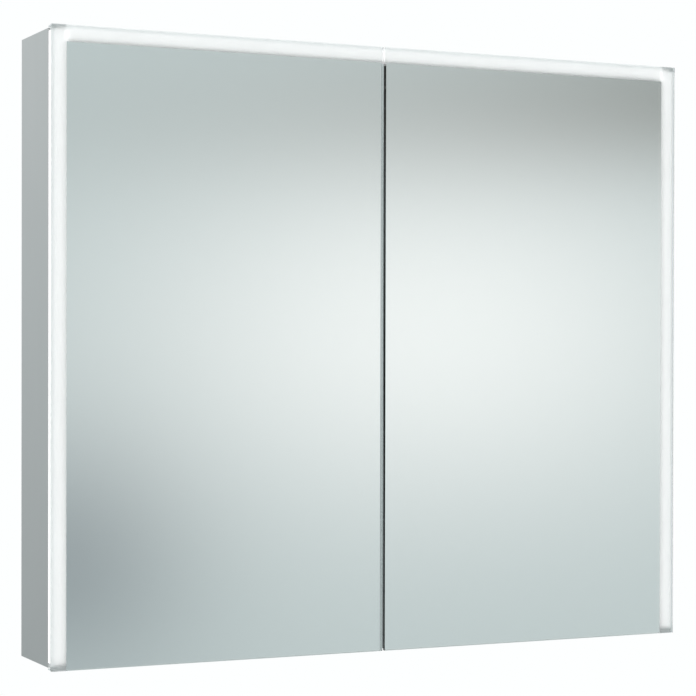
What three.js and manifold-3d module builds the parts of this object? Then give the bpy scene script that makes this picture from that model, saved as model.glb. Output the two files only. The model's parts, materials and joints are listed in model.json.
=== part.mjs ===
// A wall-hung bathroom mirror cabinet with two double-sided mirror doors and a lit border.
// Millimetres, +Z up, +X to the right and -Y towards the person who stands in front of it.
// The origin is the middle of the back face, where the cabinet meets the wall.
// Touching pieces keep a gap of FIT, so each one stays a solid of its own.
import * as THREE from "three";
import { mergeVertices } from "three/addons/utils/BufferGeometryUtils.js";
import Module from "manifold-3d";

const wasm = await Module();
wasm.setup();

// Overall sizes
const DOOR_SPAN = 800;
const DOOR_HEIGHT = 700;
const DEPTH = 120;
const DOOR_GAP = 3;
const OVERHANG = 2; // how far the doors stand past the carcass at the sides, top and bottom
const PANEL = 15; // thickness of the carcass panels
const FIT = 0.3;

// Depths behind the door fronts
const FRONT_GLASS = 5;
const REAR_GLASS = 4;
const LIGHT_SETBACK = 7.5; // front of the diffusers and of the bottom panel
const PANEL_SETBACK = 19; // front edge of the side and top panels

// Door pivots: the axis stands just behind the glass, near its outer corner
const PIVOT_IN = 5.5; // from the door's outer edge
const PIVOT_BACK = 10.5; // from the door's front
const PIN_RADIUS = 1.6;
const KNUCKLE_RADIUS = 3.4;
const UPPER_BRACKET = 2;
const LOWER_BRACKET = 5;
const SHOE_PLATE = 1.5;
const BRACKET_CHEEK = 2; // outside the axis, where the open door's shoe swings round the bracket

// Interior
const BACK_PANEL = 5;
const BACK_MIRROR = 4;
const SHELF = 6;
const SHELF_ROWS = [2, 8]; // which support holes carry a shelf
const HOLE_ROWS = 10;
const HOLE_PITCH = 32;
const LOWEST_HOLE = -168;
const HOLE_RADIUS = 2.8;
const HOLE_DEPTH = 9;
const HOUSING_X = [60, 320];
const HOUSING_FRONT = -80;
const HOUSING_HEIGHT = 71;
const SHEET = 1.5;

// Derived planes
const FRONT = -DEPTH;
const OUTER_X = DOOR_SPAN / 2 - OVERHANG;
const OUTER_Z = DOOR_HEIGHT / 2 - OVERHANG;
const INNER_X = OUTER_X - PANEL;
const INNER_Z = OUTER_Z - PANEL;
const PANEL_FRONT = FRONT + PANEL_SETBACK;
const LIGHT_FRONT = FRONT + LIGHT_SETBACK;
const GLASS_BACK = FRONT + FRONT_GLASS;
const REAR_GLASS_FRONT = GLASS_BACK + FIT;
const REAR_GLASS_BACK = REAR_GLASS_FRONT + REAR_GLASS;
const MIRROR_BACK = -BACK_PANEL - FIT;
const MIRROR_FRONT = MIRROR_BACK - BACK_MIRROR;
const PIVOT_X = DOOR_SPAN / 2 - PIVOT_IN;
const PIVOT_Y = FRONT + PIVOT_BACK;
const HOUSING_BOTTOM = INNER_Z - HOUSING_HEIGHT;

const SIDES = [
  { name: "left", sign: -1 },
  { name: "right", sign: 1 },
];

// Finishes
const finish = (color, roughness, metalness) =>
  new THREE.MeshStandardMaterial({ color, roughness, metalness });
const SATIN_ALUMINIUM = () => finish(0xaab3b0, 0.4, 0.8);
const WHITE_SHEET = () => finish(0xeef0ef, 0.5, 0);
const WHITE_PLASTIC = () => finish(0xf2f3f1, 0.4, 0);
const GREY_PLASTIC = () => finish(0x9a9fa0, 0.5, 0);
const WHITE_STEEL = () => finish(0xf0f2f1, 0.45, 0.1);
const STEEL = () => finish(0xb9bcbd, 0.35, 1);
const MIRROR = () => finish(0xd4dddb, 0.05, 1);
const CLEAR_GLASS = () => finish(0xd9ece6, 0.05, 0);
const OPAL = () => finish(0xfbfdfc, 0.6, 0);
const CIRCUIT = () => finish(0xf6f4ea, 0.6, 0);
const CLEAR_RUBBER = () => finish(0xdfe3e2, 0.7, 0);

// ---------- shape helpers ----------

// A box from three [low, high] spans.
function box(x, y, z) {
  const size = [x, y, z].map(([low, high]) => high - low);
  const middle = [x, y, z].map(([low, high]) => (low + high) / 2);
  return new THREE.BoxGeometry(...size).translate(...middle);
}

// The [low, high] span of two distances from the middle plane, on one side of the cabinet.
function across(sign, near, far) {
  return [sign * near, sign * far].sort((a, b) => a - b);
}

// A round bar along an axis, from one coordinate to another, at the other two coordinates.
function rod(axis, radius, from, to, centre, segments = 16) {
  const bar = new THREE.CylinderGeometry(radius, radius, to - from, segments);
  const middle = (from + to) / 2;
  if (axis === "x") return bar.rotateZ(Math.PI / 2).translate(middle, ...centre);
  if (axis === "z") return bar.rotateX(Math.PI / 2).translate(...centre, middle);
  return bar.translate(centre[0], middle, centre[1]);
}

// A shape turned about the Y axis: [radius, y] points, closed on themselves or on the axis.
function turned(points, segments) {
  return new THREE.LatheGeometry(
    points.map(([radius, y]) => new THREE.Vector2(radius, y)),
    segments,
  );
}

// An outline in the YZ plane, drawn out along X.
function drawnAlongX(points, [from, to]) {
  const outline = new THREE.Shape(points.map(([y, z]) => new THREE.Vector2(y, z)));
  const bar = new THREE.ExtrudeGeometry(outline, { depth: to - from, bevelEnabled: false });
  // Outline x, outline y and depth become Y, Z and X.
  bar.applyMatrix4(new THREE.Matrix4().set(0, 0, 1, 0, 1, 0, 0, 0, 0, 1, 0, 0, 0, 0, 0, 1));
  return bar.translate(from, 0, 0);
}

function toSolid(geometry) {
  const bare = geometry.clone();
  bare.deleteAttribute("normal");
  bare.deleteAttribute("uv");
  const merged = mergeVertices(bare, 1e-4);
  return new wasm.Manifold(
    new wasm.Mesh({
      numProp: 3,
      vertProperties: merged.attributes.position.array,
      triVerts: new Uint32Array(merged.index.array),
    }),
  );
}

function toGeometry(solid) {
  const mesh = solid.getMesh();
  const geometry = new THREE.BufferGeometry();
  geometry.setAttribute("position", new THREE.BufferAttribute(mesh.vertProperties, 3));
  geometry.setIndex(new THREE.BufferAttribute(mesh.triVerts, 1));
  geometry.computeVertexNormals();
  return geometry;
}

function cut(geometry, tools) {
  return toGeometry(tools.reduce((solid, tool) => solid.subtract(toSolid(tool)), toSolid(geometry)));
}

function join(geometries) {
  return toGeometry(geometries.map(toSolid).reduce((solid, next) => solid.add(next)));
}

function add(group, name, geometry, material) {
  const mesh = new THREE.Mesh(geometry, material);
  mesh.name = name;
  group.add(mesh);
  return mesh;
}

// ---------- carcass ----------

const SUPPORT_COLUMNS = [PANEL_FRONT + 16, -27];
const supportZ = (row) => LOWEST_HOLE + HOLE_PITCH * row;
const TAIL_X = [PIVOT_X - 8.5, PIVOT_X - 0.5];
const TAIL_BACK = PANEL_FRONT + 40;

// The pivot brackets' tails lie in pockets in the ends of each side panel.
function sidePanel(sign) {
  const panel = box(across(sign, INNER_X, OUTER_X), [PANEL_FRONT, 0], [-OUTER_Z, OUTER_Z]);
  const pocketX = across(sign, TAIL_X[0] - FIT, TAIL_X[1] + FIT);
  const pocketY = [PANEL_FRONT - 1, TAIL_BACK + FIT];
  const tools = [
    box(pocketX, pocketY, [OUTER_Z - UPPER_BRACKET - FIT, OUTER_Z + 1]),
    box(pocketX, pocketY, [-OUTER_Z - 1, -OUTER_Z + LOWER_BRACKET + FIT]),
  ];
  const [from, to] = across(sign, INNER_X - 1, INNER_X + HOLE_DEPTH);
  for (const y of SUPPORT_COLUMNS) {
    for (let row = 0; row < HOLE_ROWS; row++) {
      tools.push(rod("x", HOLE_RADIUS, from, to, [y, supportZ(row)], 12));
    }
  }
  return cut(panel, tools);
}

const BETWEEN_SIDES = [-INNER_X + FIT, INNER_X - FIT];
const BETWEEN_ENDS = [-INNER_Z + FIT, INNER_Z - FIT];
const HANGER_IN = 42; // width of a hanger, from the side panel
const HANGER_BOTTOM = INNER_Z - 43;
const HOOK_X = [INNER_X - 27, INNER_X - 17];
const HOOK_Z = [INNER_Z - 29, INNER_Z - 13];
const GLAND_AT = [190, INNER_Z - 33];
const GLAND_RADIUS = 8;

// A rail closes the back between the hangers. The rest of the back is one panel under them, so a
// shallow recess is left behind each hanger for the plate on the wall.
const RAIL_BOTTOM = HANGER_BOTTOM - 1;
const RAIL_HALF = INNER_X - HANGER_IN - 1;
const SUPPLY_HOLE = () => rod("y", GLAND_RADIUS + FIT, -20, 1, GLAND_AT, 24);

function backRail() {
  const rail = box([-RAIL_HALF, RAIL_HALF], [-BACK_PANEL, 0], [RAIL_BOTTOM + FIT, INNER_Z - FIT]);
  return cut(rail, [SUPPLY_HOLE()]);
}

// The mirror in front of the panel and the rail is notched round the hangers.
function backMirror() {
  const notches = SIDES.map(({ sign }) =>
    box(across(sign, RAIL_HALF, OUTER_X), [-20, 1], [RAIL_BOTTOM, OUTER_Z]),
  );
  return cut(box(BETWEEN_SIDES, [MIRROR_FRONT, MIRROR_BACK], BETWEEN_ENDS), [...notches, SUPPLY_HOLE()]);
}

function addCarcass(cabinet) {
  for (const { name, sign } of SIDES) add(cabinet, `side_panel_${name}`, sidePanel(sign), SATIN_ALUMINIUM());
  add(cabinet, "top_panel", box(BETWEEN_SIDES, [PANEL_FRONT, 0], [INNER_Z, OUTER_Z]), SATIN_ALUMINIUM());
  add(cabinet, "bottom_panel", box(BETWEEN_SIDES, [LIGHT_FRONT, 0], [-OUTER_Z, -INNER_Z]), SATIN_ALUMINIUM());
  const backPanel = box(BETWEEN_SIDES, [-BACK_PANEL, 0], [BETWEEN_ENDS[0], RAIL_BOTTOM]);
  add(cabinet, "back_panel", backPanel, WHITE_SHEET());
  add(cabinet, "back_rail", backRail(), SATIN_ALUMINIUM());
  add(cabinet, "back_mirror", backMirror(), MIRROR());
}

// ---------- lights ----------

const DIFFUSER_WALL = 2;
const CHANNEL_WALL = 1;
const LIGHT_EDGE = 0.5; // how far a diffuser stands inside the carcass's outer face

// A U of three walls, open at the back. "out" is measured from the middle of the cabinet.
function trough(out, y, wall, place) {
  return join([
    place([out[0], out[1]], [y[0], y[0] + wall]),
    place([out[0], out[0] + wall], y),
    place([out[1] - wall, out[1]], y),
  ]);
}

// The channel is the same U turned round, with its floor against the panel.
function channel(out, y, wall, place) {
  return join([
    place([out[0], out[1]], [y[1] - 1.5, y[1]]),
    place([out[0], out[0] + wall], y),
    place([out[1] - wall, out[1]], y),
  ]);
}

// One run of light: opal diffuser, aluminium channel and LED strip, from the inner to the outer wall.
function addLight(cabinet, name, inner, outer, place) {
  const diffuserOut = [inner + FIT, outer - LIGHT_EDGE];
  const channelOut = [diffuserOut[0] + DIFFUSER_WALL + FIT, diffuserOut[1] - DIFFUSER_WALL - FIT];
  const stripOut = [channelOut[0] + CHANNEL_WALL + FIT, channelOut[1] - CHANNEL_WALL - FIT];
  const back = PANEL_FRONT - FIT;
  const floor = back - 1.5;
  const diffuser = trough(diffuserOut, [LIGHT_FRONT, back], DIFFUSER_WALL, place);
  const lightChannel = channel(channelOut, [back - 5, back], CHANNEL_WALL, place);
  add(cabinet, `diffuser_${name}`, diffuser, OPAL());
  add(cabinet, `light_channel_${name}`, lightChannel, SATIN_ALUMINIUM());
  add(cabinet, `led_strip_${name}`, place(stripOut, [floor - FIT - 1.4, floor - FIT]), CIRCUIT());
}

function addLights(cabinet) {
  const upright = [-OUTER_Z + LOWER_BRACKET + FIT, OUTER_Z - UPPER_BRACKET - 1.3];
  for (const { name, sign } of SIDES) {
    addLight(cabinet, name, INNER_X, OUTER_X, (out, y) => box(across(sign, ...out), y, upright));
  }
  addLight(cabinet, "top", INNER_Z, OUTER_Z, (out, y) => box([-INNER_X, INNER_X], y, out));
}

// ---------- doors and their pivots ----------

// A bracket's knuckle is round about the pivot axis, so the door glass can swing past it.
function bracket(sign, z) {
  const knuckle = rod("z", KNUCKLE_RADIUS, ...z, [sign * PIVOT_X, PIVOT_Y], 32);
  const bodyX = across(sign, INNER_X + 0.5, PIVOT_X);
  const body = box(bodyX, [PIVOT_Y - KNUCKLE_RADIUS, PANEL_FRONT - FIT], z);
  const cheek = box(across(sign, PIVOT_X, PIVOT_X + BRACKET_CHEEK), [PIVOT_Y, PANEL_FRONT - FIT], z);
  const tail = box(across(sign, ...TAIL_X), [PANEL_FRONT - 2, TAIL_BACK], z);
  const bore = rod("z", PIN_RADIUS + FIT, z[0] - 1, z[1] + 1, [sign * PIVOT_X, PIVOT_Y], 24);
  return cut(join([knuckle, body, cheek, tail]), [bore]);
}

// A shoe is a plate along the edge of the door glass, with a small tab bonded behind the glass.
// The upper shoe rests on its bracket and carries the door.
function shoe(sign, plateZ, tabZ) {
  const edge = DOOR_SPAN / 2;
  const plate = box(across(sign, edge - 17, edge - 1), [GLASS_BACK + FIT, GLASS_BACK + 11], plateZ);
  const tab = box(across(sign, edge - 6, edge - 1), [GLASS_BACK + FIT, GLASS_BACK + FIT + 1.4], tabZ);
  const bore = rod("z", PIN_RADIUS + FIT, plateZ[0] - 1, plateZ[1] + 1, [sign * PIVOT_X, PIVOT_Y], 24);
  return cut(join([plate, tab]), [bore]);
}

function addPivots(cabinet, door, name, sign) {
  const lip = OUTER_Z + FIT; // the shoe plates run just past the carcass's top and bottom faces
  const lipEnd = lip + SHOE_PLATE;
  const at = [sign * PIVOT_X, PIVOT_Y];
  const upperBracket = bracket(sign, [OUTER_Z - UPPER_BRACKET, OUTER_Z]);
  const lowerBracket = bracket(sign, [-OUTER_Z, -OUTER_Z + LOWER_BRACKET]);
  const upperPin = rod("z", PIN_RADIUS, OUTER_Z - UPPER_BRACKET, lipEnd, at);
  const lowerPin = rod("z", PIN_RADIUS, -lipEnd, -OUTER_Z + LOWER_BRACKET, at);
  const upperShoe = shoe(sign, [lip, lipEnd], [lip - 3.3, lip + 0.5]);
  const lowerShoe = shoe(sign, [-lipEnd, -lip], [-lip - 0.5, -lip + 3.3]);
  add(cabinet, `upper_pivot_bracket_${name}`, upperBracket, WHITE_STEEL());
  add(cabinet, `lower_pivot_bracket_${name}`, lowerBracket, WHITE_STEEL());
  add(cabinet, `upper_pivot_pin_${name}`, upperPin, STEEL());
  add(cabinet, `lower_pivot_pin_${name}`, lowerPin, STEEL());
  add(door, `upper_pivot_shoe_${name}`, upperShoe, WHITE_STEEL());
  add(door, `lower_pivot_shoe_${name}`, lowerShoe, WHITE_STEEL());
}

const CATCH_X = [22, 58];
const STRIKE_Z = [-INNER_Z + 6, -INNER_Z + 20];

function addDoor(cabinet, name, sign) {
  const door = new THREE.Group();
  const meeting = DOOR_GAP / 2;
  const glassX = across(sign, meeting, DOOR_SPAN / 2);
  const rearX = across(sign, meeting + 3, INNER_X - 2);
  const rearZ = [-INNER_Z + 2, INNER_Z - 2];
  const strikeX = across(sign, CATCH_X[0] + 2, CATCH_X[1] - 2);
  const strikeY = [REAR_GLASS_BACK + FIT, REAR_GLASS_BACK + FIT + 1];
  const glass = box(glassX, [FRONT, GLASS_BACK], [-DOOR_HEIGHT / 2, DOOR_HEIGHT / 2]);
  add(door, `door_glass_${name}`, glass, MIRROR());
  add(door, `door_rear_mirror_${name}`, box(rearX, [REAR_GLASS_FRONT, REAR_GLASS_BACK], rearZ), MIRROR());
  add(door, `strike_plate_${name}`, box(strikeX, strikeY, STRIKE_Z), STEEL());
  addPivots(cabinet, door, name, sign);
  cabinet.add(door);
}

// A magnetic catch holds each door shut, and a soft bumper takes the glass.
function addCatch(cabinet, name, sign) {
  const front = REAR_GLASS_BACK + FIT + 1.4;
  const housing = box(across(sign, ...CATCH_X), [front + 1, front + 16], [-INNER_Z + FIT, -INNER_Z + 22]);
  const magnet = box(across(sign, CATCH_X[0] + 3, CATCH_X[1] - 3), [front, front + 2], STRIKE_Z);
  add(cabinet, `magnetic_catch_${name}`, join([housing, magnet]), WHITE_PLASTIC());
  const bumper = turned([[0, 0], [4, 0], [4, 1], [3, 1.9], [0, 1.9]], 20);
  bumper.rotateX(Math.PI).translate(sign * 95, LIGHT_FRONT - FIT, (-INNER_Z - OUTER_Z) / 2);
  add(cabinet, `door_bumper_${name}`, bumper, CLEAR_RUBBER());
}

// ---------- shelves ----------

const COLLAR = 1.7;

function shelfSupport(sign, y, z) {
  const tip = HOLE_DEPTH - FIT; // into the panel
  const stub = 9; // out under the shelf
  const points = [[0, -stub], [2, -stub], [2.5, -stub + 0.5], [2.5, -COLLAR], [4, -COLLAR]];
  points.push([4, -FIT], [2.5, -FIT], [2.5, tip - 0.5], [2, tip], [0, tip]);
  const pin = turned(points, 16).rotateZ((-Math.PI / 2) * sign);
  return pin.translate(sign * INNER_X, y, z);
}

function addShelves(cabinet) {
  const depth = [PANEL_FRONT - 2, MIRROR_FRONT - 1.7];
  SHELF_ROWS.forEach((row, index) => {
    const shelfName = ["lower", "upper"][index];
    const bottom = supportZ(row) + 2.5 + FIT;
    const half = INNER_X - COLLAR - 1;
    const shelf = box([-half, half], depth, [bottom, bottom + SHELF]);
    add(cabinet, `glass_shelf_${shelfName}`, shelf, CLEAR_GLASS());
    for (const { name, sign } of SIDES) {
      SUPPORT_COLUMNS.forEach((y, column) => {
        const support = shelfSupport(sign, y, supportZ(row));
        add(cabinet, `shelf_support_${shelfName}_${name}_${["front", "rear"][column]}`, support, STEEL());
      });
    }
  });
}

// ---------- electrics ----------

const SOCKET_AT = [130, (HOUSING_BOTTOM + INNER_Z) / 2]; // x and z of the shaver socket
const SOCKET_RADIUS = 19.5;
const SWITCH_AT = [255, SOCKET_AT[1]];
const BEZEL = { half: [10.8, 16.3], rim: 3, lip: 2, depth: 9 };
const ROCKER_TILT = THREE.MathUtils.degToRad(7);

// Half sizes to a rectangle about the switch's middle.
function switchBox([halfX, halfZ], y) {
  const [x, z] = SWITCH_AT;
  return box([x - halfX, x + halfX], y, [z - halfZ, z + halfZ]);
}

function electricsHousing() {
  const shell = box(HOUSING_X, [HOUSING_FRONT, MIRROR_FRONT - FIT], [HOUSING_BOTTOM, INNER_Z - FIT]);
  const insideX = [HOUSING_X[0] + SHEET, HOUSING_X[1] - SHEET];
  const room = box(insideX, [HOUSING_FRONT + SHEET, 0], [HOUSING_BOTTOM + SHEET, OUTER_Z]);
  const socket = rod("y", SOCKET_RADIUS + FIT, HOUSING_FRONT - 1, HOUSING_FRONT + 3, SOCKET_AT, 40);
  const sleeve = BEZEL.half.map((half) => half + 1.2 + FIT);
  const window = switchBox(sleeve, [HOUSING_FRONT - 1, HOUSING_FRONT + 3]);
  return cut(shell, [room, socket, window]);
}

// The shaver socket's face has two round pin holes.
function socketInsert() {
  const front = HOUSING_FRONT - FIT;
  const flange = rod("y", SOCKET_RADIUS + 3.5, front - 2, front, SOCKET_AT, 40);
  const body = rod("y", SOCKET_RADIUS, front - 1, front + 14, SOCKET_AT, 40);
  const holes = [-8.3, 8.3].map((offset) =>
    rod("y", 2.5, front - 3, front + 10, [SOCKET_AT[0] + offset, SOCKET_AT[1]], 16),
  );
  return cut(join([flange, body]), holes);
}

function switchBezel() {
  const front = HOUSING_FRONT - FIT;
  const rim = switchBox(BEZEL.half.map((half) => half + BEZEL.rim), [front - BEZEL.lip, front]);
  const sleeve = switchBox(BEZEL.half.map((half) => half + 1.2), [front - 1, front + BEZEL.depth]);
  const opening = switchBox(BEZEL.half, [front - 5, front + 20]);
  return cut(join([rim, sleeve]), [opening]);
}

// The rocker's face is a shallow V. It rests tilted, with its lower end pressed in.
function rocker() {
  const outline = [[-4.2, -15], [-2.4, 0], [-4.2, 15], [3, 13], [4.5, 4], [4.5, -4], [3, -13]];
  const halfWidth = BEZEL.half[0] - 0.5;
  return drawnAlongX(outline.reverse(), [-halfWidth, halfWidth]);
}

// The gland is closed at the wall by a thin membrane, which the supply cable pierces when it is fitted.
function cableGland() {
  const inside = MIRROR_FRONT - FIT;
  const bore = 4.5;
  const points = [[0, -FIT], [GLAND_RADIUS, -FIT], [GLAND_RADIUS, inside], [12, inside], [12, inside - 4]];
  points.push([9, inside - 9], [6.5, inside - 9], [bore, inside - 9], [bore, -FIT - 1.5], [0, -FIT - 1.5]);
  return turned(points.reverse(), 24).translate(GLAND_AT[0], 0, GLAND_AT[1]);
}

function addElectrics(cabinet) {
  const floor = HOUSING_BOTTOM + SHEET + FIT;
  add(cabinet, "electrics_housing", electricsHousing(), WHITE_SHEET());
  add(cabinet, "shaver_socket_insert", socketInsert(), WHITE_PLASTIC());
  add(cabinet, "switch_bezel", switchBezel(), WHITE_PLASTIC());
  const switchRocker = add(cabinet, "rocker_switch", rocker(), WHITE_PLASTIC());
  switchRocker.position.set(SWITCH_AT[0], HOUSING_FRONT + 1.5, SWITCH_AT[1]);
  switchRocker.rotation.x = ROCKER_TILT;
  add(cabinet, "led_driver", box([70, 170], [-55, -20], [floor, floor + 24]), GREY_PLASTIC());
  add(cabinet, "terminal_block", box([275, 310], [-50, -30], [floor, floor + 16]), WHITE_PLASTIC());
  add(cabinet, "supply_cable_gland", cableGland(), GREY_PLASTIC());
}

// ---------- wall hangers ----------

// A hanger's steel hook reaches into the recess behind it and takes the lip of a plate on the wall.
function addHanger(cabinet, name, sign) {
  const bodyX = across(sign, INNER_X - HANGER_IN, INNER_X - FIT);
  const hookX = across(sign, ...HOOK_X);
  const hookRoom = across(sign, HOOK_X[0] - FIT, HOOK_X[1] + FIT);
  const screws = [HANGER_IN - 12, 10].map((inset) =>
    rod("y", 3.5, -40, -28, [sign * (INNER_X - inset), HANGER_BOTTOM + 12], 20),
  );
  const body = box(bodyX, [-34, -BACK_PANEL - FIT], [HANGER_BOTTOM, INNER_Z - FIT]);
  const slot = box(hookRoom, [-20, 0], [HOOK_Z[0] - FIT, HOOK_Z[1] + FIT]);
  add(cabinet, `wall_hanger_${name}`, cut(body, [...screws, slot]), WHITE_PLASTIC());
  const hook = [[-19, HOOK_Z[1]], [-19, HOOK_Z[0]], [-15, HOOK_Z[0]], [-15, HOOK_Z[1] - 5]];
  hook.push([-2.5, HOOK_Z[1] - 5], [-2.5, HOOK_Z[0] + 4], [-FIT, HOOK_Z[0] + 4], [-FIT, HOOK_Z[1]]);
  add(cabinet, `hanger_hook_${name}`, drawnAlongX(hook, hookX), STEEL());
}

const cabinet = new THREE.Group();
addCarcass(cabinet);
addLights(cabinet);
for (const { name, sign } of SIDES) {
  addDoor(cabinet, name, sign);
  addCatch(cabinet, name, sign);
  addHanger(cabinet, name, sign);
}
addShelves(cabinet);
addElectrics(cabinet);

export default cabinet;
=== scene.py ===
"""The looks of a wall-hung, two-door mirror cabinet with a lit border, built round its CAD frame.

Metres, +Z up, +X to the right and -Y towards the person in front. The origin is the middle of the
back face.
"""
import json
import math

import bmesh
import bpy
from mathutils import Matrix, Vector


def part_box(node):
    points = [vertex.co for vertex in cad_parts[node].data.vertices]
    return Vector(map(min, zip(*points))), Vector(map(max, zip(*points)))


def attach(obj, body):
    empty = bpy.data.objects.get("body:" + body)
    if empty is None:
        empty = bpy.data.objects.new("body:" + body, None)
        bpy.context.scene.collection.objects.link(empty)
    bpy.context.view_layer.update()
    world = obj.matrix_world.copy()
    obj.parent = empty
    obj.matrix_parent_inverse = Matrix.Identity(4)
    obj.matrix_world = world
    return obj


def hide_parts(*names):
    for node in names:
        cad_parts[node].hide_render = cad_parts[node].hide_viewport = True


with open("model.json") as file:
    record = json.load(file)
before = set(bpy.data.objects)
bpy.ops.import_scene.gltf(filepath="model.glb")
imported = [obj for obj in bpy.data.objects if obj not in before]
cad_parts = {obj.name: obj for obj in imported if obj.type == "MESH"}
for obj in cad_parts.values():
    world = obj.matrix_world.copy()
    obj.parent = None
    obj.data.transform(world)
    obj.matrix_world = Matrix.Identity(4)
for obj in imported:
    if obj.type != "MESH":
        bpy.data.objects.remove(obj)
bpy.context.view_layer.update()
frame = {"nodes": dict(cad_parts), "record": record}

MM = 0.001
SIDES = (("left", -1), ("right", 1))  # the sign is that of X
LEVELS = (("upper", 1), ("lower", -1))  # the sign is that of Z
COLUMNS = ("front", "rear")

# Door glass
BORDER = 17.8 * MM  # width of the frosted border, at a door's outer side and its top
SILVER_INSET = 0.05 * MM  # bare polished glass left beside the seam and along the bottom
SILVER_CORNER = 2.5 * MM  # radius of the silver's corners at the seam
SILVER_CORNER_STEPS = 6
SILVER_LAYER = 0.1 * MM
SILVER_GAP = 0.05 * MM  # keeps the silver's face off the back of the pane
PENCIL_EDGE = 0.6 * MM  # radius of the polished edges

# The photographer's place and aim
CAMERA_AT = Vector((-1.0853, -2.3267, -0.0085))
CAMERA_YAW = math.radians(25.208)
CAMERA_PITCH = math.radians(-0.520)
CAMERA_ROLL = math.radians(0.121)
CAMERA_LENS = 109.7
CAMERA_SHIFT_Y = 0.040
FLOOR_DROP = 1.25  # the cabinet hangs with its middle this far above the floor
FLOOR_RADIUS = 3.0
FLOOR_FADE = (0.5, 0.97 * FLOOR_RADIUS)  # from the floor's middle

ROCKER_REST = math.radians(7)  # the switch rests tilted
OPAL_GLOW = 0.62  # emission strength of the lit covers
SMOOTH_ANGLE = math.radians(40)  # edges under this are shaded smooth
CAD_SMOOTH_ANGLE = math.radians(35)
FACING = 0.9  # a face looks along an axis when this much of its normal does


# ---------- camera, floor and studio ----------

def make_camera():
    data = bpy.data.cameras.new("camera")
    data.lens = CAMERA_LENS
    data.sensor_width = 36
    data.shift_y = CAMERA_SHIFT_Y
    data.clip_start = 0.05
    data.clip_end = 50
    camera = bpy.data.objects.new("camera", data)
    bpy.context.scene.collection.objects.link(camera)
    yaw = Matrix.Rotation(-CAMERA_YAW, 4, "Z")
    pitch = Matrix.Rotation(math.pi / 2 + CAMERA_PITCH, 4, "X")
    roll = Matrix.Rotation(CAMERA_ROLL, 4, "Z")
    camera.matrix_world = Matrix.Translation(CAMERA_AT) @ (yaw @ pitch) @ roll
    bpy.context.scene.camera = camera


class Nodes:
    """Short calls that add nodes to one node tree and link them."""

    def __init__(self, tree):
        self.tree = tree

    def add(self, kind, inputs=(), **settings):
        node = self.tree.nodes.new(kind)
        for key, value in settings.items():
            setattr(node, key, value)
        for socket, value in dict(inputs).items():
            self.set(node.inputs[socket], value)
        return node

    def set(self, socket, value):
        if isinstance(value, bpy.types.NodeSocket):
            self.tree.links.new(value, socket)
        else:
            socket.default_value = value

    def math(self, operation, *values):
        return self.add("ShaderNodeMath", dict(enumerate(values)), operation=operation).outputs[0]

    def dot(self, vector, direction):
        values = {0: vector, 1: tuple(direction)}
        return self.add("ShaderNodeVectorMath", values, operation="DOT_PRODUCT").outputs["Value"]

    def ramped(self, value, low, high):
        """A 0 to 1 value spread between low and high."""
        spread = {"Value": value, "To Min": low, "To Max": high}
        return self.add("ShaderNodeMapRange", spread).outputs[0]

    def mixed(self, factor, first, second):
        node = self.add("ShaderNodeMix", {"Factor": factor}, data_type="RGBA")
        self.set(node.inputs[6], first)
        self.set(node.inputs[7], second)
        return node.outputs[2]


def direction_of(azimuth, elevation):
    """A unit vector. Azimuth 0 is in front of the cabinet, along -Y, and 90 is to its right."""
    a, e = math.radians(azimuth), math.radians(elevation)
    return Vector((math.sin(a) * math.cos(e), -math.cos(a) * math.cos(e), math.sin(e)))


# Soft lights and dark flags round the cabinet, which its mirrors show: azimuth, elevation, width
# and height in degrees, and the colour that each adds
STUDIO_LOBES = (
    (27.4, 0.8, 8.7, 5.3, (0.40, 0.345, 0.335)),
    (17.4, -5.5, 3.8, 3.6, (-0.22, -0.24, -0.23)),
    (45.0, 7.0, 20.0, 2.2, (-0.34, -0.39, -0.41)),
    (-70.0, 40.0, 35.0, 28.0, (0.90, 0.90, 0.90)),
    (95.0, 25.0, 40.0, 30.0, (0.25, 0.25, 0.25)),
    (-155.0, 34.0, 50.0, 24.0, (0.50, 0.50, 0.49)),
    (-155.0, -32.0, 50.0, 24.0, (-0.45, -0.49, -0.50)),
)
STUDIO_BASE = (0.55, 0.61, 0.62)
BACKDROP = (0.985, 1.0, 1.0)


def make_world():
    """A pale backdrop for the camera, and a soft studio for light and reflections."""
    world = bpy.data.worlds.new("studio")
    world.use_nodes = True
    world.node_tree.nodes.clear()
    n = Nodes(world.node_tree)
    ray = n.add("ShaderNodeTexCoord").outputs["Generated"]
    colour = STUDIO_BASE
    for azimuth, elevation, width, height, added in STUDIO_LOBES:
        ahead = direction_of(azimuth, elevation)
        right = direction_of(azimuth + 90, 0)
        across = n.math("DIVIDE", n.dot(ray, right), math.sin(math.radians(width)))
        up = n.math("DIVIDE", n.dot(ray, ahead.cross(right)), math.sin(math.radians(height)))
        spread = n.math("ADD", n.math("MULTIPLY", across, across), n.math("MULTIPLY", up, up))
        glow = n.math("EXPONENT", n.math("MULTIPLY", spread, -1.0))
        shown = n.math("MULTIPLY", glow, n.math("MAXIMUM", n.dot(ray, ahead), 0.0))
        tint = n.add("ShaderNodeVectorMath", {0: added, "Scale": shown}, operation="SCALE")
        colour = n.add("ShaderNodeVectorMath", {0: colour, 1: tint.outputs[0]}).outputs[0]
    studio = n.add("ShaderNodeBackground", {"Color": colour})
    backdrop = n.add("ShaderNodeBackground", {"Color": BACKDROP + (1,)})
    seen = n.add("ShaderNodeLightPath").outputs["Is Camera Ray"]
    both = n.add("ShaderNodeMixShader", {0: seen, 1: studio.outputs[0], 2: backdrop.outputs[0]})
    n.add("ShaderNodeOutputWorld", {"Surface": both.outputs[0]})
    bpy.context.scene.world = world


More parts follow.
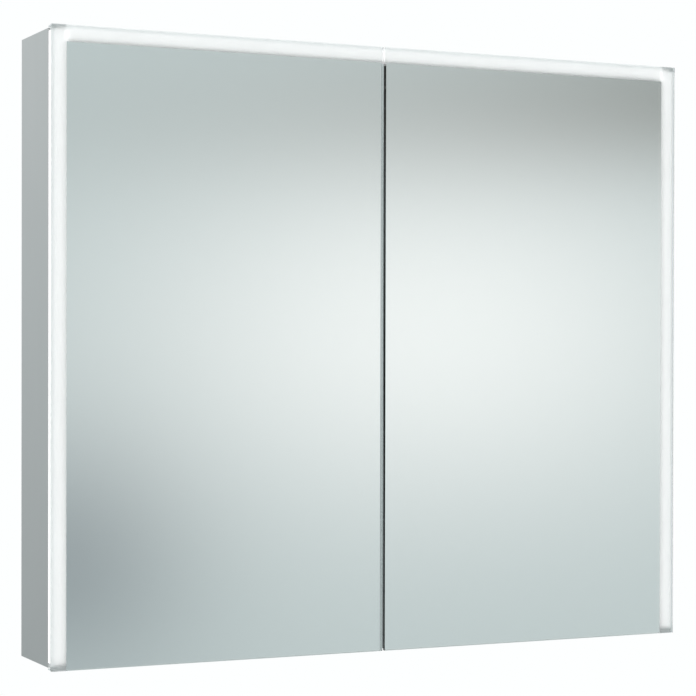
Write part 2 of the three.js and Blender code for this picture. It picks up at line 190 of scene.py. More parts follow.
def make_floor():
    """A pale round floor that fades away towards its rim, and is clear from below."""
    bm = bmesh.new()
    bmesh.ops.create_circle(bm, cap_ends=True, segments=96, radius=FLOOR_RADIUS)
    mesh = bpy.data.meshes.new("floor")
    bm.to_mesh(mesh)
    bm.free()
    floor = bpy.data.objects.new("floor", mesh)
    floor.location.z = -FLOOR_DROP
    bpy.context.scene.collection.objects.link(floor)
    material = bpy.data.materials.new("floor")
    material.use_nodes = True
    material.node_tree.nodes.clear()
    n = Nodes(material.node_tree)
    place = n.add("ShaderNodeTexCoord").outputs["Object"]
    away = n.add("ShaderNodeVectorMath", {0: place}, operation="LENGTH").outputs["Value"]
    span = {"Value": away, "From Min": FLOOR_FADE[0], "From Max": FLOOR_FADE[1]}
    rim = n.add("ShaderNodeMapRange", span, interpolation_type="SMOOTHSTEP").outputs[0]
    matt = n.add("ShaderNodeBsdfDiffuse", {"Color": (0.80, 0.80, 0.80, 1)})
    white = n.add("ShaderNodeEmission", {"Color": BACKDROP + (1,)})
    ray = n.add("ShaderNodeLightPath").outputs
    faded = n.math("MULTIPLY", rim, ray["Is Camera Ray"])
    both = n.add("ShaderNodeMixShader", {0: faded, 1: matt.outputs[0], 2: white.outputs[0]})
    # Rays that left a mirror see the studio through the rim, so no mirror shows a hard horizon
    plain = n.math("ADD", ray["Is Camera Ray"], ray["Is Diffuse Ray"])
    plain = n.math("ADD", plain, ray["Is Shadow Ray"])
    mirrored = n.math("MAXIMUM", n.math("SUBTRACT", 1.0, plain), 0.0)
    underside = n.add("ShaderNodeNewGeometry").outputs["Backfacing"]
    hidden = n.math("MAXIMUM", underside, n.math("MULTIPLY", rim, mirrored))
    clear = n.add("ShaderNodeBsdfTransparent")
    shown = n.add("ShaderNodeMixShader", {0: hidden, 1: both.outputs[0], 2: clear.outputs[0]})
    n.add("ShaderNodeOutputMaterial", {"Surface": shown.outputs[0]})
    mesh.materials.append(material)


def make_key_light():
    """A large soft box high on the left. The mirrors don't show it."""
    data = bpy.data.lights.new("key", "AREA")
    data.shape = "RECTANGLE"
    data.size = 2.2
    data.size_y = 1.6
    data.energy = 30
    key = bpy.data.objects.new("key", data)
    key.location = (-2.2, -2.6, 2.4)
    key.rotation_euler = (-key.location).to_track_quat("-Z", "Y").to_euler()
    key.visible_glossy = False
    bpy.context.scene.collection.objects.link(key)


# ---------- materials ----------

class Finish:
    """A material with one Principled shader, and calls that give it its procedural detail."""

    def __init__(self, name, colour, roughness, metallic=0.0, **sockets):
        self.material = bpy.data.materials.new(name)
        self.material.use_nodes = True
        self.n = Nodes(self.material.node_tree)
        self.shader = self.material.node_tree.nodes["Principled BSDF"]
        self.colour = colour
        self.shader.inputs["Base Color"].default_value = self.colour + (1,)
        self.shader.inputs["Roughness"].default_value = roughness
        self.shader.inputs["Metallic"].default_value = metallic
        for name, value in sockets.items():
            self.shader.inputs[name.replace("_", " ")].default_value = value

    def noise(self, scale, detail=3.0, stretch=(1, 1, 1)):
        """Noise of a scale to the metre, drawn out along an axis by a small stretch."""
        place = self.n.add("ShaderNodeTexCoord").outputs["Object"]
        spread = self.n.add("ShaderNodeMapping", {"Vector": place, "Scale": stretch}).outputs[0]
        inputs = {"Vector": spread, "Scale": scale, "Detail": detail}
        return self.n.add("ShaderNodeTexNoise", inputs).outputs["Fac"]

    def tint(self, value, share):
        """The colour drifts darker and lighter by a share of itself."""
        dark = tuple(c * (1 - share) for c in self.colour) + (1,)
        light = tuple(min(1, c * (1 + share)) for c in self.colour) + (1,)
        self.n.set(self.shader.inputs["Base Color"], self.n.mixed(value, dark, light))
        return self

    def polish(self, value, low, high):
        self.n.set(self.shader.inputs["Roughness"], self.n.ramped(value, low, high))
        return self

    def relief(self, value, distance, strength=0.3):
        inputs = {"Height": value, "Distance": distance, "Strength": strength}
        self.n.set(self.shader.inputs["Normal"], self.n.add("ShaderNodeBump", inputs).outputs[0])
        return self


def satin_aluminium():
    """Bead-blasted, anodised extrusion: a fine even grain and faint lines along the profile."""
    f = Finish("satin_aluminium", (0.68, 0.675, 0.67), 0.38, 1.0)
    f.tint(f.noise(9, 4), 0.025)
    f.polish(f.noise(60, 3, (1, 1, 0.08)), 0.34, 0.42)
    return f.relief(f.noise(5200, 2), 0.00002, 0.15).material


def silver():
    """The reflecting layer behind the door glass."""
    f = Finish("silver", (0.915, 0.935, 0.93), 0.0, 1.0)
    return f.polish(f.noise(5, 5), 0.0, 0.012).material


def front_mirror():
    """A silvered pane, with its reflection at its face."""
    f = Finish("mirror_face", (0.86, 0.89, 0.88), 0.0, 1.0)
    return f.polish(f.noise(5, 5), 0.0, 0.02).material


def clear_glass():
    f = Finish("clear_glass", (0.988, 1.0, 0.995), 0.0, IOR=1.46, Transmission_Weight=1.0)
    return f.polish(f.noise(7, 4), 0.0, 0.012).material


def frosted_glass():
    """The etched border: a fine matt grain that spreads the light behind it."""
    f = Finish("frosted_glass", (0.97, 0.985, 0.98), 0.5)
    f.tint(f.noise(1500, 3), 0.01)
    f.polish(f.noise(900, 2), 0.46, 0.58)
    f.relief(f.noise(6000, 2), 0.00002, 0.1)
    behind = f.n.add("ShaderNodeBsdfTranslucent", {"Color": (0.98, 0.98, 0.98, 1)})
    through = 0.65  # share of the light that passes
    shaders = {0: through, 1: f.shader.outputs[0], 2: behind.outputs[0]}
    both = f.n.add("ShaderNodeMixShader", shaders)
    surface = f.material.node_tree.nodes["Material Output"].inputs["Surface"]
    f.n.set(surface, both.outputs[0])
    return f.material


def glass_edge():
    """The ground and polished edge of float glass, which looks green along its depth."""
    f = Finish("glass_edge", (0.42, 0.60, 0.53), 0.12, IOR=1.46, Transmission_Weight=0.55)
    f.tint(f.noise(220, 2, (0.2, 1, 0.2)), 0.12)
    return f.polish(f.noise(600, 2), 0.08, 0.2).material


def backing_paint():
    f = Finish("backing_paint", (0.33, 0.35, 0.36), 0.55)
    return f.tint(f.noise(300, 3), 0.08).material


def opal_lit():
    """Opal acrylic over LEDs: even, with a faint drift in its brightness."""
    f = Finish("opal_acrylic", (0.93, 0.95, 0.94), 0.45)
    glow = f.n.mixed(f.noise(70, 2), (0.97, 0.925, 0.93, 1), (1.0, 0.945, 0.95, 1))
    f.n.set(f.shader.inputs["Emission Color"], glow)
    f.shader.inputs["Emission Strength"].default_value = OPAL_GLOW
    return f.polish(f.noise(400, 2), 0.4, 0.5).material


def brushed_steel():
    f = Finish("brushed_steel", (0.62, 0.63, 0.63), 0.3, 1.0)
    f.tint(f.noise(40, 4), 0.05)
    f.polish(f.noise(2500, 2, (0.05, 1, 1)), 0.22, 0.4)
    return f.relief(f.noise(3500, 2, (0.04, 1, 1)), 0.00002, 0.2).material


def powder_coat(name, colour):
    """Fine powder coat on metal: a soft orange-peel skin."""
    f = Finish(name, colour, 0.45)
    f.tint(f.noise(12, 3), 0.015)
    return f.relief(f.noise(1400, 2), 0.00006, 0.2).material


def coated_board():
    """The back panel's coated composite sheet: a faint pebbled skin."""
    f = Finish("coated_board", (0.72, 0.735, 0.735), 0.55)
    f.tint(f.noise(18, 4), 0.03)
    f.polish(f.noise(90, 3), 0.48, 0.62)
    return f.relief(f.noise(900, 3), 0.00008, 0.25).material


def moulded_plastic(name, colour, gloss):
    """Moulded plastic with a fine spark-eroded texture."""
    f = Finish(name, colour, gloss)
    f.tint(f.noise(25, 3), 0.02)
    f.polish(f.noise(500, 2), gloss - 0.05, gloss + 0.07)
    return f.relief(f.noise(3000, 2), 0.00003, 0.15).material


def silicone():
    f = Finish("silicone", (0.86, 0.88, 0.87), 0.35, IOR=1.41, Transmission_Weight=0.6)
    return f.polish(f.noise(800, 2), 0.28, 0.42).material


def circuit():
    """A white LED circuit strip."""
    f = Finish("led_circuit", (0.88, 0.87, 0.82), 0.5)
    return f.tint(f.noise(120, 2), 0.04).material


SLOT_FINISH = {
    "satin_aluminium": satin_aluminium(),
    "opal_acrylic": opal_lit(),
    "led_circuit": circuit(),
    "door_mirror": clear_glass(),
    "rear_mirror": front_mirror(),
    "stainless_steel": brushed_steel(),
    "white_steel": powder_coat("white_steel", (0.82, 0.835, 0.83)),
    "white_plastic": moulded_plastic("white_plastic", (0.80, 0.81, 0.80), 0.32),
    "grey_plastic": moulded_plastic("grey_plastic", (0.30, 0.32, 0.33), 0.45),
    "white_sheet": powder_coat("white_sheet", (0.80, 0.815, 0.81)),
    "white_composite": coated_board(),
    "clear_glass": clear_glass(),
    "clear_rubber": silicone(),
}
FROSTED = frosted_glass()
SILVER = silver()
GLASS_EDGE = glass_edge()
BACKING = backing_paint()
# Near-black plastic for the catch's magnet and the rocker's marks; inside the socket's pin holes
# it is painted shade
BLACK_AND_PAINTED_SHADE = moulded_plastic("black_parts_and_painted_hole_shade", (0.03, 0.03, 0.035), 0.6)

# Radius of the small rounds that a real edge has, by material slot
EDGE_ROUND = {
    "satin_aluminium": 0.4 * MM,
    "opal_acrylic": 0.5 * MM,
    "stainless_steel": 0.2 * MM,
    "white_plastic": 0.6 * MM,
    "grey_plastic": 0.5 * MM,
    "white_sheet": 0.5 * MM,
    "white_steel": 0.2 * MM,
    "white_composite": 0.3 * MM,
    "rear_mirror": 0.4 * MM,
    "clear_glass": 0.8 * MM,
    "clear_rubber": 0.2 * MM,
}


# ---------- mesh helpers ----------

def in_mm(points):
    """An outline drawn in millimetres, in metres."""
    return [tuple(value * MM for value in point) for point in points]


def rounded(bm, edges, radius, segments):
    """Rounds some of a shape's edges."""
    bmesh.ops.bevel(
        bm, geom=edges, offset=radius, segments=segments, profile=0.5, affect="EDGES"
    )
    return bm


def block(low, high, round_by=0.0, segments=3):
    """A box between two corners, with its edges rounded."""
    bm = bmesh.new()
    bmesh.ops.create_cube(bm, size=1)
    low, high = Vector(low), Vector(high)
    for v in bm.verts:
        v.co = Vector(low[i] if v.co[i] < 0 else high[i] for i in range(3))
    return rounded(bm, bm.edges[:], round_by, segments) if round_by else bm


def split_at(bm, axis, value):
    """Cuts every face that crosses a plane square to an axis."""
    place, normal = Vector((0, 0, 0)), Vector((0, 0, 0))
    place[axis], normal[axis] = value, 1
    geometry = bm.verts[:] + bm.edges[:] + bm.faces[:]
    bmesh.ops.bisect_plane(bm, geom=geometry, dist=1e-7, plane_co=place, plane_no=normal)


def eased(points, radius, steps=4, closed=False):
    """An outline with its corners rounded. The two ends of an open outline stay sharp."""
    made = []
    for index in range(len(points)):
        here = Vector(points[index])
        if not closed and index in (0, len(points) - 1):
            made.append(here)
            continue
        before, after = Vector(points[index - 1]), Vector(points[(index + 1) % len(points)])
        reach = min(radius, (before - here).length / 2.1, (after - here).length / 2.1)
        first = here + (before - here).normalized() * reach
        last = here + (after - here).normalized() * reach
        for step in range(steps + 1):
            t = step / steps
            made.append(first.lerp(here, t).lerp(here.lerp(last, t), t))
    return made


def turned(points, segments=40):
    """A round body about Z, from (radius, height) points."""
    bm = bmesh.new()
    ring = [bm.verts.new((radius, 0, height)) for radius, height in points]
    edges = [bm.edges.new(pair) for pair in zip(ring, ring[1:])]
    bmesh.ops.spin(
        bm, geom=ring + edges, cent=(0, 0, 0), axis=(0, 0, 1), angle=math.tau, steps=segments
    )
    bmesh.ops.remove_doubles(bm, verts=bm.verts[:], dist=1e-7)
    return bm


def prism(outline, low, high):
    """A closed outline in XY, drawn out along Z."""
    bm = bmesh.new()
    rings = [[bm.verts.new((x, y, z)) for x, y in outline] for z in (low, high)]
    bm.faces.new(rings[0])
    bm.faces.new(rings[1][::-1])
    for i in range(len(outline)):
        j = (i + 1) % len(outline)
        bm.faces.new((rings[0][i], rings[1][i], rings[1][j], rings[0][j]))
    return bm


def upright_prism(outline, low, high):
    """A closed outline in XZ, drawn out along Y."""
    bm = prism(outline, low, high)
    bm.transform(Matrix.Rotation(math.pi / 2, 4, "X") @ Matrix.Scale(-1, 4, (0, 0, 1)))
    return bm


def placed(bm, at, axis=(0, 0, 1)):
    """Turns a shape's Z axis to an axis and moves its origin to a place."""
    turn = Vector(axis).to_track_quat("Z", "Y").to_matrix().to_4x4()
    bm.transform(Matrix.Translation(at) @ turn)
    return bm


def inked(bm, index):
    """Gives all of a shape's faces one material index."""
    for face in bm.faces:
        face.material_index = index
    return bm


def joined(shapes):
    whole = bmesh.new()
    for shape in shapes:
        held = bpy.data.meshes.new("held")
        shape.to_mesh(held)
        shape.free()
        whole.from_mesh(held)
        bpy.data.meshes.remove(held)
    return whole


def carved(solid, cutters):
    """A solid with shapes taken out of it. The cut faces keep the cutters' material index."""
    held = []
    for shape in (solid, joined(cutters)):
        bmesh.ops.recalc_face_normals(shape, faces=shape.faces)
        mesh = bpy.data.meshes.new("held")
        shape.to_mesh(mesh)
        shape.free()
        for _ in range(3):  # a material index is kept if the mesh has a slot for it
            mesh.materials.append(None)
        held.append(bpy.data.objects.new("held", mesh))
        bpy.context.scene.collection.objects.link(held[-1])
    cut = held[0].modifiers.new("cut", "BOOLEAN")
    cut.operation = "DIFFERENCE"
    cut.solver = "EXACT"
    cut.object = held[1]
    done = held[0].evaluated_get(bpy.context.evaluated_depsgraph_get())
    result = bmesh.new()
    result.from_mesh(done.to_mesh())
    done.to_mesh_clear()
    for obj in held:
        bpy.data.meshes.remove(obj.data)
    return result


def even_normals(piece):
    """Smooth rounds beside flat faces that stay flat."""
    piece.data.shade_smooth()
    piece.data.set_sharp_from_angle(angle=SMOOTH_ANGLE)
    weighted = piece.modifiers.new("even_normals", "WEIGHTED_NORMAL")
    weighted.keep_sharp = True


def add_piece(name, bm, body, slot, materials=(), stands_for=()):
    """A piece from a bmesh, riding on a body, in its slot's finish unless others are given."""
    bmesh.ops.recalc_face_normals(bm, faces=bm.faces)
    mesh = bpy.data.meshes.new(name)
    bm.to_mesh(mesh)
    bm.free()
    for material in materials or [SLOT_FINISH[slot]]:
        mesh.materials.append(material)
    piece = bpy.data.objects.new(name, mesh)
    bpy.context.scene.collection.objects.link(piece)
    even_normals(piece)
    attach(piece, body)
    if stands_for:
        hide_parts(*stands_for)
    return piece


def middle_of(node):
    low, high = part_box(node)
    return (low + high) / 2


# ---------- screws ----------

def plus_sign(reach, half):
    arm = [(reach, -half), (reach, half), (half, half)]
    quarters = [Matrix.Rotation(quarter * math.pi / 2, 2) for quarter in range(4)]
    return [tuple(quarter @ Vector(point)) for quarter in quarters for point in arm]


def pan_head(radius, height):
    """A screw's pan head with a cross recess, standing on Z = 0."""
    shoulder, side = (radius * 0.7, height), (radius, height * 0.4)
    outline = [(0, height), shoulder, side, (radius, 0), (0, 0)]
    recess = prism(plus_sign(radius * 0.55, radius * 0.12), height * 0.3, height * 2)
    return carved(turned(eased(outline, radius * 0.3), 32), [recess])


def flush_head(radius):
    """A countersunk screw's head with a cross recess, its face at Z = 0."""
    rim, neck, depth = radius * 0.12, radius * 0.45, radius * 0.7
    outline = [(0, 0), (radius, 0), (radius, -rim), (neck, -depth), (0, -depth)]
    recess = prism(plus_sign(radius * 0.5, radius * 0.11), -radius * 0.4, radius)
    return carved(turned(outline, 32), [recess])


def screws(head, places, axis):
    """Copies of one screw head at several places, all facing along an axis."""
    copies = [placed(head.copy(), place, axis) for place in places]
    head.free()
    return joined(copies)


# ---------- door glass ----------

def door_pane(side, sign):
    """The front pane: clear float glass, etched on its back along the outer side and the top."""
    low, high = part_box(f"door_glass_{side}")
    border_x = (high.x if sign > 0 else low.x) - sign * BORDER
    border_z = high.z - BORDER
    bm = block(low, high, PENCIL_EDGE, 4)
    split_at(bm, 0, border_x)
    split_at(bm, 2, border_z)
    for face in bm.faces:
        middle = face.calc_center_median()
        on_border = middle.z > border_z or sign * (middle.x - border_x) > 0
        face.material_index = int(on_border and face.normal.y > FACING)
    materials = [SLOT_FINISH["door_mirror"], FROSTED]
    node = f"door_glass_{side}"
    add_piece(f"door_pane_{side}", bm, f"door_{side}", "door_mirror", materials, [node])


def door_silvering(side, sign):
    """The silver and its paint: a thin layer on the pane's back, inside the frosted border."""
    low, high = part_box(f"door_glass_{side}")
    outer = (high.x if sign > 0 else low.x) - sign * BORDER
    seam = (low.x if sign > 0 else high.x) + sign * SILVER_INSET
    bottom, top = low.z + SILVER_INSET, high.z - BORDER
    turns = [math.pi / 2 * k / SILVER_CORNER_STEPS for k in range(SILVER_CORNER_STEPS + 1)]
    across = [seam + sign * SILVER_CORNER * (1 - math.sin(turn)) for turn in turns]
    rise = [SILVER_CORNER * (1 - math.cos(turn)) for turn in turns]
    lower = [(x, bottom + dz) for x, dz in zip(across, rise)]
    upper = [(x, top - dz) for x, dz in zip(across, rise)]
    outline = [(outer, bottom), *lower, *upper[::-1], (outer, top)]
    near = high.y + SILVER_GAP
    bm = inked(upright_prism(outline, near, near + SILVER_LAYER), 1)
    bm.faces.ensure_lookup_table()
    bm.faces[0].material_index = 0  # the face towards the pane
    add_piece(f"door_silvering_{side}", bm, f"door_{side}", "door_mirror", [SILVER, BACKING])


# ---------- carried-over CAD pieces ----------

def soften(node, width):
    """Rounds a piece's sharp edges a little."""
    bevel = node.modifiers.new("edge_round", "BEVEL")
    bevel.width = width
    bevel.segments = 3
    bevel.limit_method = "ANGLE"
    bevel.angle_limit = SMOOTH_ANGLE
    bevel.harden_normals = True


def finish_cad_nodes():
    for row in frame["record"]["subparts"]:
        node, slot = frame["nodes"][row["node"]], row["material_slot"]
        node.data.materials.clear()
        node.data.materials.append(SLOT_FINISH[slot])
        node.data.shade_smooth()
        node.data.set_sharp_from_angle(angle=CAD_SMOOTH_ANGLE)
        if slot in EDGE_ROUND:
            soften(node, EDGE_ROUND[slot])


def finish_pane(node, axis, sign, back):
    """Polishes a pane's edges and backs the face that looks against a sign along an axis."""
    mesh = frame["nodes"][node].data
    mesh.materials.append(GLASS_EDGE)
    mesh.materials.append(back)
    for polygon in mesh.polygons:
        facing = polygon.normal[axis] * sign
        polygon.material_index = 0 if facing > FACING else 2 if facing < -FACING else 1


# ---------- fittings on the carcass ----------

def back_board():
    """The back panel, with countersunk screws round its rim."""
    low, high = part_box("back_panel")
    rim, columns, rows = 8 * MM, 5, 4
    across = [low.x + rim + (high.x - low.x - 2 * rim) * k / columns for k in range(columns + 1)]
    up = [low.z + rim + (high.z - low.z - 2 * rim) * k / rows for k in range(rows + 1)]
    places = [(x, high.y, z) for x in across for z in (up[0], up[-1])]
    places += [(x, high.y, z) for x in (across[0], across[-1]) for z in up[1:-1]]
    radius, below = 3.6 * MM, 0.3 * MM  # a screw head's, and how far it lies under the face
    sink = in_mm([(0, 1), (3.9, 1), (3.9, -0.3), (1.5, -2.6), (0, -2.6)])
    sinks = [placed(turned(sink, 32), place, (0, 1, 0)) for place in places]
    board = carved(block(low, high, EDGE_ROUND["white_composite"]), sinks)
    add_piece("back_board", board, "cabinet", "white_composite", stands_for=["back_panel"])
    faces = [Vector(place) - Vector((0, below, 0)) for place in places]
    heads = screws(flush_head(radius), faces, (0, 1, 0))
    add_piece("back_board_screws", heads, "cabinet", "stainless_steel")


def cable_gland():
    """A rubber gland with a thin stepped membrane where the supply cable goes through."""
    low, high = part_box("supply_cable_gland")
    at = Vector(((low.x + high.x) / 2, high.y, (low.z + high.z) / 2))
    lip, bore, length = (high.x - low.x) / 2, 4.5 * MM, high.y - low.y
    outline = in_mm([(0, -0.9), (1.6, -0.9), (1.9, -0.4), (3.4, -0.4), (3.7, 0), (5.4, 0)])
    outline += in_mm([(5.7, -0.4), (7.2, -0.4), (8, -0.1), (8, -9.3)])
    outline += [(lip, -9.3 * MM), (lip, -13.3 * MM), (9 * MM, -length), (6.5 * MM, -length)]
    outline += [(bore, -length), (bore, -1.5 * MM), (0, -1.5 * MM)]
    gland = placed(turned(eased(outline, 0.35 * MM, 3), 48), at, (0, 1, 0))
    add_piece("cable_gland", gland, "cabinet", "grey_plastic", stands_for=["supply_cable_gland"])


def hanger_screws(side, sign):
    """A hanger's two adjusting screws: one lifts the cabinet, one pulls it to the wall."""
    low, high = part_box(f"wall_hanger_{side}")
    places = []
    for inset in (29.7 * MM, 9.7 * MM):
        x = (high.x if sign > 0 else low.x) - sign * inset
        places.append((x, low.y + 3.5 * MM, low.z + 12 * MM))
    heads = screws(pan_head(3.1 * MM, 1.8 * MM), places, (0, -1, 0))
    add_piece(f"hanger_screws_{side}", heads, "cabinet", "stainless_steel")


def pivot_screws(side, sign):
    """Screws that hold the pivot brackets' tails in the ends of the side panel."""
    tail_x = sign * 390 * MM
    insets = (9 * MM, 29 * MM)  # from the back of a tail
    shapes = []
    for level, up in LEVELS:
        low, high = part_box(f"{level}_pivot_bracket_{side}")
        face = high.z if up > 0 else low.z
        places = [(tail_x, high.y - inset, face) for inset in insets]
        shapes.append(screws(pan_head(2.4 * MM, 1.2 * MM), places, (0, 0, up)))
    add_piece(f"pivot_screws_{side}", joined(shapes), "cabinet", "stainless_steel")


def pivot_pin(level, side, up):
    """A round pin with a domed end."""
    node = f"{level}_pivot_pin_{side}"
    low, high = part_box(node)
    radius, length = (high.y - low.y) / 2, high.z - low.z
    shoulder, dome = length - radius * 0.5, radius * 0.6
    at = middle_of(node)
    at.z = low.z if up > 0 else high.z
    outline = [(0, 0), (radius, 0), (radius, shoulder), (dome, length), (0, length)]
    pin = placed(turned(eased(outline, radius * 0.4), 32), at, (0, 0, up))
    add_piece(f"pin_{level}_{side}", pin, "cabinet", "stainless_steel", stands_for=[node])


def shelf_pin(level, side, column, sign):
    """A turned steel shelf support with a collar, a groove and a soft sleeve under the glass."""
    node = f"shelf_support_{level}_{side}_{column}"
    low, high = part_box(node)
    stub, tip = 9, -8.7  # the pin's two ends, in millimetres out of the panel's face
    at = middle_of(node)
    at.x = (low.x + stub * MM) if sign > 0 else (high.x - stub * MM)
    outline = [(0, stub), (1.9, stub), (2.5, 8.3), (2.5, 7.6), (2.2, 7.4), (2.2, 6.9), (2.5, 6.7)]
    outline += [(2.5, 1.7), (4, 1.7), (4, 0.3), (2.5, 0.3), (2.5, -8), (2, tip), (0, tip)]
    pin = turned(eased(in_mm(outline), 0.3 * MM, 3))
    sleeve = in_mm([(2.45, 2.6), (2.7, 2.7), (2.7, 6.1), (2.45, 6.2), (2.45, 2.6)])
    whole = placed(joined([pin, inked(turned(sleeve), 1)]), at, (-sign, 0, 0))
    materials = [SLOT_FINISH["stainless_steel"], SLOT_FINISH["clear_rubber"]]
    name = f"shelf_pin_{level}_{side}_{column}"
    add_piece(name, whole, "cabinet", "stainless_steel", materials, [node])


def hole_bushes(side, sign):
    """White bushes in the support holes that carry no shelf."""
    lower = [middle_of(f"shelf_support_lower_{side}_{column}") for column in COLUMNS]
    upper = middle_of(f"shelf_support_upper_{side}_front")
    shelf_row, empty_rows = 6, (-2, -1, 1, 2, 3, 4, 5, 7)  # counted up from the lower shelf's row
    pitch = (upper.z - lower[0].z) / shelf_row
    panel_low, panel_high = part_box(f"side_panel_{side}")
    face = panel_low.x if sign > 0 else panel_high.x
    outline = [(2.2, 0.1), (2.4, 0.3), (3.4, 0.3), (3.7, 0.02), (2.6, 0.02), (2.6, -6), (2.2, -6)]
    outline = in_mm([*outline, outline[0]])
    shapes = []
    for at in lower:
        for row in empty_rows:
            place = (face, at.y, at.z + row * pitch)
            shapes.append(placed(turned(outline, 28), place, (-sign, 0, 0)))
    add_piece(f"hole_bushes_{side}", joined(shapes), "cabinet", "white_plastic")


def bumper(side):
    node = f"door_bumper_{side}"
    low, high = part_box(node)
    radius, height = (high.x - low.x) / 2, high.y - low.y
    waist, crown = (radius * 0.93, height * 0.45), (radius * 0.7, height * 0.85)
    outline = [(0, 0), (radius, 0), waist, crown, (0, height)]
    at = middle_of(node)
    at.y = high.y
    dome = placed(turned(eased(outline, 0.7 * MM)), at, (0, -1, 0))
    add_piece(f"bumper_{side}", dome, "cabinet", "clear_rubber", stands_for=[node])


def magnet_catch(side):
    """A moulded catch with a magnet between two steel pole plates, and two screws from above."""
    node = f"magnetic_catch_{side}"
    low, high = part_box(node)

    def bar(inset, near, far, bottom, top):
        """Corners of a bar across the catch, in millimetres from its sides, front and foot."""
        corner = Vector((low.x + inset * MM, low.y + near * MM, low.z + bottom * MM))
        return corner, Vector((high.x - inset * MM, low.y + far * MM, low.z + top * MM))

    case_low = Vector((low.x, low.y + 1 * MM, low.z))
    middle, row = (low.x + high.x) / 2, (case_low.y + high.y) / 2 + 1.5 * MM
    wells = [(middle + offset, row, high.z) for offset in (-11 * MM, 11 * MM)]
    well = in_mm([(0, 2), (3.3, 2), (3.3, -3.2), (0, -3.2)])
    cutters = [placed(turned(well, 32), place) for place in wells]
    height = (high.z - low.z) / MM
    mouth = block(*bar(2.6, 0, 3.4, 5.3, height - 1.6))
    case = carved(block(case_low, high, 1.4 * MM, 4), [*cutters, mouth])
    levels = ((5.7, 7.1), (18.3, 19.7))
    plates = [inked(block(*bar(3, 0, 3.2, *level), 0.25 * MM), 1) for level in levels]
    magnet = inked(block(*bar(3.4, 0.5, 3, 7.3, 18.1), 0.3 * MM), 2)
    sunk = [Vector(place) - Vector((0, 0, 3.1 * MM)) for place in wells]
    heads = inked(screws(pan_head(2.7 * MM, 1.6 * MM), sunk, (0, 0, 1)), 1)
    whole = joined([case, *plates, magnet, heads])
    materials = [SLOT_FINISH["white_plastic"], SLOT_FINISH["stainless_steel"], BLACK_AND_PAINTED_SHADE]
    add_piece(f"catch_{side}", whole, "cabinet", "white_plastic", materials, [node])


def diffuser_flange(side, sign):
    """The opal cover's inner flange, which lights the border as far as the silver."""
    low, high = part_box(f"diffuser_{side}")
    inner = low.x if sign > 0 else high.x
    overlap, reach, thickness = 0.2 * MM, 1.9 * MM, 1.2 * MM
    ends = sorted((inner + sign * overlap, inner - sign * reach))
    flange = block((ends[0], low.y, low.z), (ends[1], low.y + thickness, high.z), 0.3 * MM)
    add_piece(f"diffuser_flange_{side}", flange, "cabinet", "opal_acrylic")


# ---------- electrics ----------

def electrics_cover():
    """The folded sheet housing, with air slots in its ends and underside."""
    low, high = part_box("electrics_housing")
    sheet, past = 1.5 * MM, 5 * MM
    room_low = (low.x + sheet, low.y + sheet, low.z + sheet)
    cutters = [block(room_low, (high.x - sheet, high.y + past, high.z + past))]
    socket, socket_radius = middle_of("shaver_socket_insert"), 19.8 * MM
    hole = turned([(0, -past), (socket_radius, -past), (socket_radius, past), (0, past)], 64)
    cutters.append(placed(hole, (socket.x, low.y, socket.z), (0, -1, 0)))
    bezel, half = middle_of("switch_bezel"), Vector((12.3 * MM, past, 17.8 * MM))
    middle = Vector((bezel.x, low.y, bezel.z))
    cutters.append(block(middle - half, middle + half))
    cover = carved(block(low, high, 1.2 * MM, 4), cutters)
    cover = carved(cover, air_slots(low, high, past))
    node = "electrics_housing"
    add_piece("electrics_cover", cover, "cabinet", "white_sheet", stands_for=[node])
    inset = 8 * MM
    columns, rows = (low.x + inset, high.x - inset), (low.z + inset, high.z - inset)
    places = [(x, low.y, z) for x in columns for z in rows]
    heads = screws(pan_head(2.6 * MM, 1.5 * MM), places, (0, -1, 0))
    add_piece("electrics_cover_screws", heads, "cabinet", "stainless_steel")


def air_slots(low, high, past):
    """Cutters for slots in both ends and the underside of the housing with these corners."""
    width, corner = 2.4 * MM, 1.1 * MM
    end_slots = [low.y + (16 + 7 * k) * MM for k in range(7)]
    end_low, end_high = low.z + 22 * MM, low.z + 48 * MM
    floor_slots = [low.x + (20 + 10 * k) * MM for k in range(22)]
    front, back = low.y + 24 * MM, low.y + 50 * MM
    slots = []
    for y in end_slots:
        for x in (low.x, high.x):
            slots.append(block((x - past, y, end_low), (x + past, y + width, end_high), corner))
    for x in floor_slots:
        slots.append(block((x, front, low.z - past), (x + width, back, low.z + past), corner))
    return slots


def shaver_socket():
    """A round dished socket face with two countersunk pin holes, their walls painted near-black
    as shade.
    """
    node = "shaver_socket_insert"
    at = middle_of(node)
    at.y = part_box(node)[0].y
    outline = [(0, -2.2), (16.6, -2.2), (18.2, -0.4), (19.6, -0.4), (19.9, 0), (22, 0)]
    outline += [(23, -0.8), (23, -2), (19.5, -2), (19.5, -15.7), (0, -15.7)]
    face = turned(eased(in_mm(outline), 0.5 * MM, 3), 72)
    hole = in_mm([(0, 1), (3.4, 1), (3.4, -2.2), (2.5, -3.1), (2.5, -9), (0, -9)])
    offset = 8.3 * MM
    # The holes' walls take index 1, the near-black finish: painted shade in the holes
    holes = [placed(inked(turned(hole, 32), 1), (x, 0, 0)) for x in (-offset, offset)]
    socket = placed(carved(face, holes), at, (0, -1, 0))
    materials = [SLOT_FINISH["white_plastic"], BLACK_AND_PAINTED_SHADE]
    add_piece("shaver_socket", socket, "cabinet", "white_plastic", materials, [node])


def upright_rectangle(half_x, half_z, corner, low, high):
    """A prism with rounded corners, drawn out along Y."""
    outline = [(-half_x, -half_z), (half_x, -half_z), (half_x, half_z), (-half_x, half_z)]
    return upright_prism(eased(outline, corner, 5, closed=True), low, high)


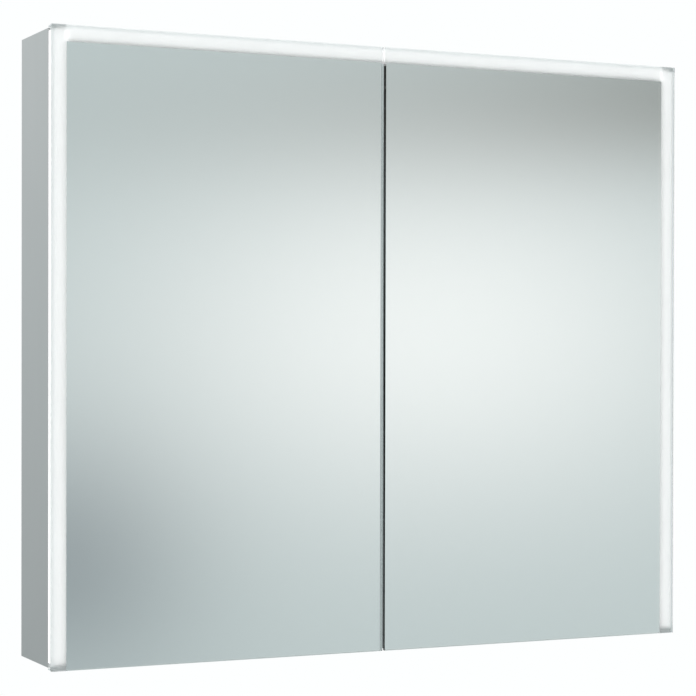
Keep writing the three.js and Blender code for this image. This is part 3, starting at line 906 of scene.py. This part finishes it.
def switch_surround():
    node = "switch_bezel"
    low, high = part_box(node)
    at = middle_of(node)
    at.y = 0
    half_x, half_z = (high.x - low.x) / 2, (high.z - low.z) / 2
    wall, step, depth = 3 * MM, 1.8 * MM, 2 * MM
    past = 1  # the opening's cutter reaches well past both faces
    rim = upright_rectangle(half_x, half_z, 3 * MM, low.y, low.y + depth)
    front = [e for e in rim.edges if all(v.co.y < low.y + 0.1 * MM for v in e.verts)]
    rim = rounded(rim, front, 0.8 * MM, 4)
    sleeve_low = low.y + 1.5 * MM
    sleeve = upright_rectangle(half_x - step, half_z - step, 1.5 * MM, sleeve_low, high.y)
    shapes = []
    for shape in (rim, sleeve):
        opening = upright_rectangle(half_x - wall, half_z - wall, 1 * MM, -past, past)
        shapes.append(carved(shape, [opening]))
    surround = joined(shapes)
    surround.transform(Matrix.Translation(at))
    add_piece("switch_surround", surround, "cabinet", "white_plastic", stands_for=[node])


def rocker_marks():
    """A line and a ring on the rocker's two halves, which slope to the middle."""
    joints = frame["record"]["behaviour"]["joints"]
    pivot = Vector(next(j["pos_m"] for j in joints if j["name"] == "rocker_switch_tilt"))
    tilt = Matrix.Translation(pivot) @ Matrix.Rotation(ROCKER_REST, 4, "X")
    # The face stands this far from the pivot at its middle, and rises to its two ends
    middle, rise, run = 2.4, 1.8, 15
    mark_at = 9
    height = middle + rise * mark_at / run
    line = block(*in_mm([(-0.5, -0.12, -2.2), (0.5, 0.3, 2.2)]), 0.1 * MM)
    ring = in_mm([(1.6, 0.12), (2.4, 0.12), (2.4, -0.3), (1.6, -0.3), (1.6, 0.12)])
    ring = placed(turned(ring), (0, 0, 0), (0, -1, 0))
    for mark, half in ((line, 1), (ring, -1)):
        seat = Matrix.Translation((0, -height * MM, half * mark_at * MM))
        slope = Matrix.Rotation(half * math.atan2(rise, run), 4, "X")
        mark.transform(tilt @ seat @ slope)
    add_piece("rocker_marks", joined([line, ring]), "rocker", "white_plastic", [BLACK_AND_PAINTED_SHADE])


make_camera()
make_world()
make_floor()
make_key_light()
finish_cad_nodes()
back_board()
cable_gland()
electrics_cover()
shaver_socket()
switch_surround()
rocker_marks()
finish_pane("back_mirror", 1, -1, BACKING)
for level in ("lower", "upper"):
    finish_pane(f"glass_shelf_{level}", 2, 1, SLOT_FINISH["clear_glass"])
for side, sign in SIDES:
    door_pane(side, sign)
    door_silvering(side, sign)
    finish_pane(f"door_rear_mirror_{side}", 1, 1, BACKING)
    diffuser_flange(side, sign)
    bumper(side)
    magnet_catch(side)
    hanger_screws(side, sign)
    pivot_screws(side, sign)
    hole_bushes(side, sign)
    for level, up in LEVELS:
        pivot_pin(level, side, up)
        for column in COLUMNS:
            shelf_pin(level, side, column, sign)

bpy.context.scene.view_settings.view_transform = "Standard"
